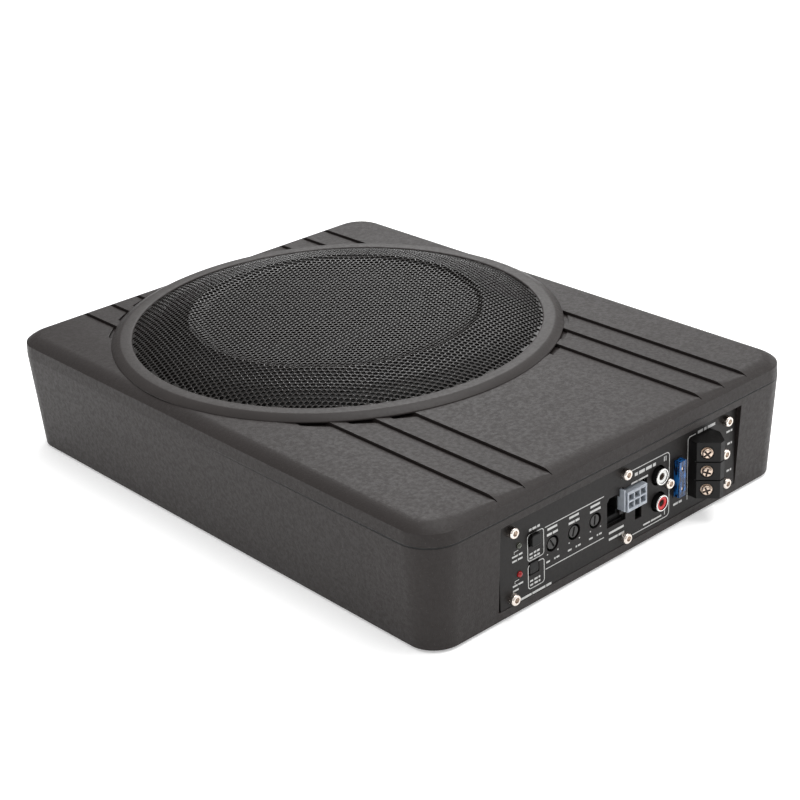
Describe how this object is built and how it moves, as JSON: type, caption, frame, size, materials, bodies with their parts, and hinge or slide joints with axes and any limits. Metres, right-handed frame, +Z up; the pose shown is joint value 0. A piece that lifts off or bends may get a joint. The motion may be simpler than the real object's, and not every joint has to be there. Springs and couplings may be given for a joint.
{
  "type": "powered car subwoofer",
  "caption": "Shallow powered under-seat car subwoofer: round woofer under a domed perforated grille, louvred deck, built-in amplifier and an end panel of controls and sockets.",
  "frame": {"origin": "On the floor, under the middle of the enclosure's footprint.", "axes": "+Z up; the control panel faces -Y and the woofer lies towards +Y; X runs across the width, with the power terminals towards +X."},
  "size_m": [0.25, 0.337, 0.0744],
  "materials": {
    "textured_metal": "fine textured powder coat, dark warm grey",
    "black_steel": "satin black powder coat",
    "black_screw": "black oxide",
    "rubber": "matte",
    "ring_paint": "smooth satin",
    "grille_paint": "satin black powder coat",
    "foam": "open foam",
    "surround_rubber": "satin",
    "cone_pulp": "coated pulp",
    "dust_cap_pulp": "coated pulp",
    "spider_cloth": "phenolic-stiffened weave",
    "copper": "enamelled wire",
    "zinc_steel": "zinc plated",
    "ferrite": "ground ferrite",
    "phenolic": "phenolic board and tinned tabs",
    "wire_jacket": "PVC jacket",
    "circuit_board": "solder mask",
    "brass": "machined",
    "zinc_screw": "zinc plated",
    "bare_aluminium": "extruded",
    "chip_epoxy": "moulded epoxy",
    "capacitor_sleeve": "shrunk sleeve",
    "toroid_paint": "coated powder core",
    "panel_paint": "smooth powder coat with printed white lines",
    "bright_screw": "bright nickel plated",
    "black_nylon": "moulded, satin",
    "nickel": "nickel plated",
    "blue_fuse": "translucent blue",
    "bright_nickel": "bright nickel plated",
    "white_insert": "moulded",
    "red_insert": "moulded",
    "white_nylon": "natural nylon",
    "tinned_pin": "tinned",
    "gold_pin": "gold flashed",
    "switch_case": "moulded",
    "button_plastic": "moulded",
    "pot_case": "moulded",
    "knob_plastic": "moulded",
    "clear_lens": "water-clear lens",
    "red_lens": "red lens"
  },
  "bodies": {
    "housing": {"enclosure": "textured_metal", "base_plate": "black_steel", "base_screws": "black_screw", "rubber_feet": "rubber", "grille_ring": "ring_paint", "grille_mesh": "grille_paint", "woofer_gasket": "foam", "woofer_basket": "black_steel", "woofer_screws": "black_screw", "surround": "surround_rubber", "spider": "spider_cloth", "top_plate": "zinc_steel", "magnet": "ferrite", "pole_yoke": "zinc_steel", "woofer_terminals": "phenolic", "speaker_wires": "wire_jacket", "amp_board": "circuit_board", "board_standoffs": "brass", "board_screws": "zinc_screw", "front_board": "circuit_board", "heat_sink": "bare_aluminium", "power_transistors": "chip_epoxy", "filter_capacitors": "capacitor_sleeve", "toroid_core": "toroid_paint", "toroid_winding": "copper", "driver_chips": "chip_epoxy", "control_panel": "panel_paint", "panel_screws": "bright_screw", "terminal_block": "black_nylon", "fuse_holder": "black_nylon", "rca_housing": "black_nylon", "rca_shells": "bright_nickel", "rca_insulator_upper": "white_insert", "rca_insulator_lower": "red_insert", "rca_contacts": "bright_nickel", "header_housing": "white_nylon", "header_pins": "tinned_pin", "remote_jack": "black_nylon", "remote_contacts": "gold_pin", "switch_bodies": "switch_case", "pot_bodies": "pot_case", "power_led": "clear_lens", "protect_led": "red_lens"},
    "cone_assembly": {"cone": "cone_pulp", "dust_cap": "dust_cap_pulp", "voice_coil": "copper"},
    "phase_button": {"phase_button": "button_plastic"},
    "mode_button": {"mode_button": "button_plastic"},
    "crossover_knob": {"crossover_knob": "knob_plastic"},
    "boost_knob": {"boost_knob": "knob_plastic"},
    "gain_knob": {"gain_knob": "knob_plastic"},
    "fuse": {"fuse_body": "blue_fuse", "fuse_blades": "nickel"},
    "clamp_1": {"terminal_clamp_1": "nickel"},
    "screw_1": {"terminal_screw_1": "nickel"},
    "clamp_2": {"terminal_clamp_2": "nickel"},
    "screw_2": {"terminal_screw_2": "nickel"},
    "clamp_3": {"terminal_clamp_3": "nickel"},
    "screw_3": {"terminal_screw_3": "nickel"}
  },
  "joints": [
    {"name": "cone_travel", "type": "slide", "parent": "housing", "child": "cone_assembly", "axis": [0, 0, 1], "range_m": [-0.0045, 0.0045], "stiffness_N_per_m": 3000, "deforming": ["surround", "spider"]},
    {"name": "phase_press", "type": "slide", "parent": "housing", "child": "phase_button", "axis": [0, 1, 0], "range_m": [0, 0.002], "stiffness_N_per_m": 400, "springref_m": -0.0005},
    {"name": "mode_release", "type": "slide", "parent": "housing", "child": "mode_button", "axis": [0, -1, 0], "range_m": [0, 0.002]},
    {"name": "crossover_turn", "type": "hinge", "parent": "housing", "child": "crossover_knob", "pos_m": [-0.0466, -0.16019, 0.0271], "axis": [0, 1, 0], "range_deg": [-108, 172]},
    {"name": "boost_turn", "type": "hinge", "parent": "housing", "child": "boost_knob", "pos_m": [-0.03225, -0.16019, 0.0271], "axis": [0, 1, 0], "range_deg": [-154, 126]},
    {"name": "gain_turn", "type": "hinge", "parent": "housing", "child": "gain_knob", "pos_m": [-0.0179, -0.16019, 0.0271], "axis": [0, 1, 0], "range_deg": [-147, 133]},
    {"name": "clamp_1_lift", "type": "slide", "parent": "housing", "child": "clamp_1", "axis": [-0.7431, -0.6691, 0], "range_m": [0, 0.002]},
    {"name": "screw_1_turn", "type": "hinge", "parent": "clamp_1", "child": "screw_1", "pos_m": [0.0523, -0.16875, 0.0185], "axis": [-0.7431, -0.6691, 0], "range_deg": [0, 1440]},
    {"name": "clamp_2_lift", "type": "slide", "parent": "housing", "child": "clamp_2", "axis": [-0.7431, -0.6691, 0], "range_m": [0, 0.002]},
    {"name": "screw_2_turn", "type": "hinge", "parent": "clamp_2", "child": "screw_2", "pos_m": [0.0523, -0.16875, 0.0284], "axis": [-0.7431, -0.6691, 0], "range_deg": [0, 1440]},
    {"name": "clamp_3_lift", "type": "slide", "parent": "housing", "child": "clamp_3", "axis": [-0.7431, -0.6691, 0], "range_m": [0, 0.002]},
    {"name": "screw_3_turn", "type": "hinge", "parent": "clamp_3", "child": "screw_3", "pos_m": [0.0523, -0.16875, 0.0383], "axis": [-0.7431, -0.6691, 0], "range_deg": [0, 1440]},
    {"name": "fuse_pull", "type": "slide", "parent": "housing", "child": "fuse", "axis": [0, -1, 0], "range_m": [0, 0.014]}
  ],
  "couplings": [
    {"joint": "screw_1_turn", "follows": "clamp_1_lift", "rad_per_m": 12565},
    {"joint": "screw_2_turn", "follows": "clamp_2_lift", "rad_per_m": 12565},
    {"joint": "screw_3_turn", "follows": "clamp_3_lift", "rad_per_m": 12565}
  ]
}
